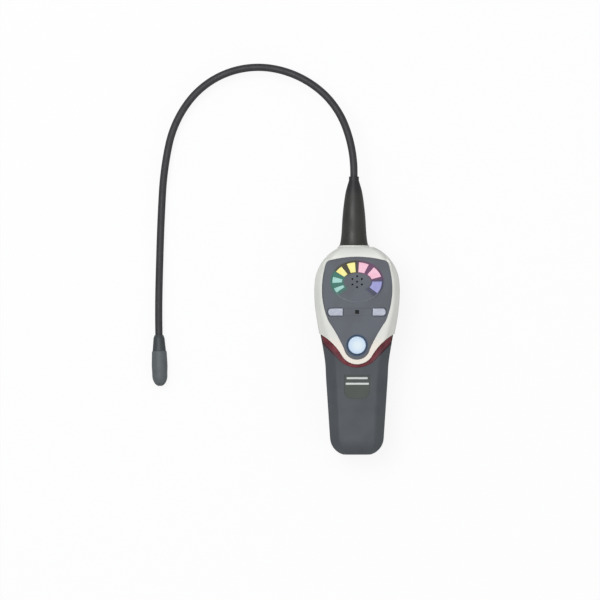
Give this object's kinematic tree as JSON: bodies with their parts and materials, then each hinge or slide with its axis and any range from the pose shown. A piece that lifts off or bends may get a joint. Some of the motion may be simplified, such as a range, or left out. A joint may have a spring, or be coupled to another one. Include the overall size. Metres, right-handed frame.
{
  "type": "gas leak detector",
  "caption": "Hand-held refrigerant gas leak detector with a bar of light windows, three keys, a sliding battery door and a bendable gooseneck ending in a capped sensor.",
  "frame": {"origin": "on the flat back of the handset, at the middle of the handset's length", "axes": "+X across the handset, +Y along it towards the gooseneck, +Z out of its face; the detector lies on its back"},
  "size_m": [0.193, 0.3041, 0.0526],
  "materials": {
    "grip_plastic": "fine moulded texture",
    "frame_plastic": "satin moulded",
    "accent_plastic": "moulded",
    "panel_plastic": "fine moulded texture",
    "dark_lens": "moulded lens",
    "button_plastic": "translucent, moulded",
    "key_rubber": "moulded",
    "board_laminate": "solder masked",
    "steel": "plated",
    "chip_resin": "moulded",
    "light_resin": "cast",
    "cell_jacket": "printed jacket",
    "boot_rubber": "moulded",
    "brass": "turned",
    "neck_rubber": "extruded sleeve",
    "collar_plastic": "moulded",
    "cap_plastic": "moulded",
    "violet_lens": "tinted lens",
    "pink_lens": "tinted lens",
    "yellow_lens": "tinted lens",
    "green_lens": "tinted lens"
  },
  "bodies": {
    "housing": {"rear_shell": "grip_plastic", "front_grip": "grip_plastic", "head_frame": "frame_plastic", "accent_band": "accent_plastic", "face_panel": "panel_plastic", "light_window_1": "violet_lens", "light_window_2": "pink_lens", "light_window_3": "pink_lens", "light_window_4": "yellow_lens", "light_window_5": "yellow_lens", "light_window_6": "green_lens", "light_window_7": "green_lens", "indicator_lens": "dark_lens", "main_board": "board_laminate", "board_screws": "steel", "board_chips": "chip_resin", "window_lights": "light_resin", "sounder": "chip_resin", "key_switches": "chip_resin", "battery_cells": "cell_jacket", "battery_contacts": "steel", "housing_screws": "steel", "neck_boot": "boot_rubber", "neck_root": "steel", "neck_ferrule": "brass"},
    "power_button": {"power_button": "button_plastic"},
    "left_key": {"left_key": "key_rubber"},
    "right_key": {"right_key": "key_rubber"},
    "battery_door": {"battery_door": "grip_plastic"},
    "neck_1": {"neck_link_01": "neck_rubber"},
    "neck_2": {"neck_link_02": "neck_rubber"},
    "neck_3": {"neck_link_03": "neck_rubber"},
    "neck_4": {"neck_link_04": "neck_rubber"},
    "neck_5": {"neck_link_05": "neck_rubber"},
    "neck_6": {"neck_link_06": "neck_rubber"},
    "neck_7": {"neck_link_07": "neck_rubber"},
    "neck_8": {"neck_link_08": "neck_rubber"},
    "neck_9": {"neck_link_09": "neck_rubber"},
    "neck_10": {"neck_link_10": "neck_rubber", "probe_collar": "collar_plastic", "gas_sensor": "steel"},
    "sensor_cap": {"sensor_cap": "cap_plastic"}
  },
  "joints": [
    {"name": "power_button_press", "type": "slide", "parent": "housing", "child": "power_button", "axis": [0, 0.1305, -0.9914], "range_m": [0, 0.0008], "stiffness_N_per_m": 1500},
    {"name": "left_key_press", "type": "slide", "parent": "housing", "child": "left_key", "axis": [0, 0.1305, -0.9914], "range_m": [0, 0.0006], "stiffness_N_per_m": 1500},
    {"name": "right_key_press", "type": "slide", "parent": "housing", "child": "right_key", "axis": [0, 0.1305, -0.9914], "range_m": [0, 0.0006], "stiffness_N_per_m": 1500},
    {"name": "battery_door_slide", "type": "slide", "parent": "housing", "child": "battery_door", "axis": [0, -1, 0], "range_m": [0, 0.066]},
    {"name": "neck_bend_1", "type": "hinge", "parent": "housing", "child": "neck_1", "pos_m": [-0.0023, 0.1385, 0.026], "axis": [0.13, 0, -0.9915], "range_deg": [-25, 11]},
    {"name": "neck_bend_2", "type": "hinge", "parent": "neck_1", "child": "neck_2", "pos_m": [-0.00916, 0.17513, 0.0251], "axis": [0.13, 0, -0.9915], "range_deg": [-10, 26]},
    {"name": "neck_bend_3", "type": "hinge", "parent": "neck_2", "child": "neck_3", "pos_m": [-0.03126, 0.20471, 0.0222], "axis": [0.13, 0, -0.9915], "range_deg": [-7, 29]},
    {"name": "neck_bend_4", "type": "hinge", "parent": "neck_3", "child": "neck_4", "pos_m": [-0.06498, 0.21968, 0.01778], "axis": [0.13, 0, -0.9915], "range_deg": [-7, 29]},
    {"name": "neck_bend_5", "type": "hinge", "parent": "neck_4", "child": "neck_5", "pos_m": [-0.10155, 0.21622, 0.01299], "axis": [-0.13, 0, 0.9915], "range_deg": [-31, 5]},
    {"name": "neck_bend_6", "type": "hinge", "parent": "neck_5", "child": "neck_6", "pos_m": [-0.13102, 0.19414, 0.00912], "axis": [-0.13, 0, 0.9915], "range_deg": [-29, 7]},
    {"name": "neck_bend_7", "type": "hinge", "parent": "neck_6", "child": "neck_7", "pos_m": [-0.14652, 0.1604, 0.00709], "axis": [-0.13, 0, 0.9915], "range_deg": [-17, 19]},
    {"name": "neck_bend_8", "type": "hinge", "parent": "neck_7", "child": "neck_8", "pos_m": [-0.1515, 0.12327, 0.00644], "axis": [-0.13, 0, 0.9915], "range_deg": [-30, 30]},
    {"name": "neck_bend_9", "type": "hinge", "parent": "neck_8", "child": "neck_9", "pos_m": [-0.15318, 0.08581, 0.00622], "axis": [-0.13, 0, 0.9915], "range_deg": [-30, 30]},
    {"name": "neck_bend_10", "type": "hinge", "parent": "neck_9", "child": "neck_10", "pos_m": [-0.15422, 0.04833, 0.00608], "axis": [-0.13, 0, 0.9915], "range_deg": [-30, 30]},
    {"name": "sensor_cap_pull", "type": "slide", "parent": "neck_10", "child": "sensor_cap", "axis": [0.0225, -0.9997, 0.0029], "range_m": [0, 0.028]}
  ]
}
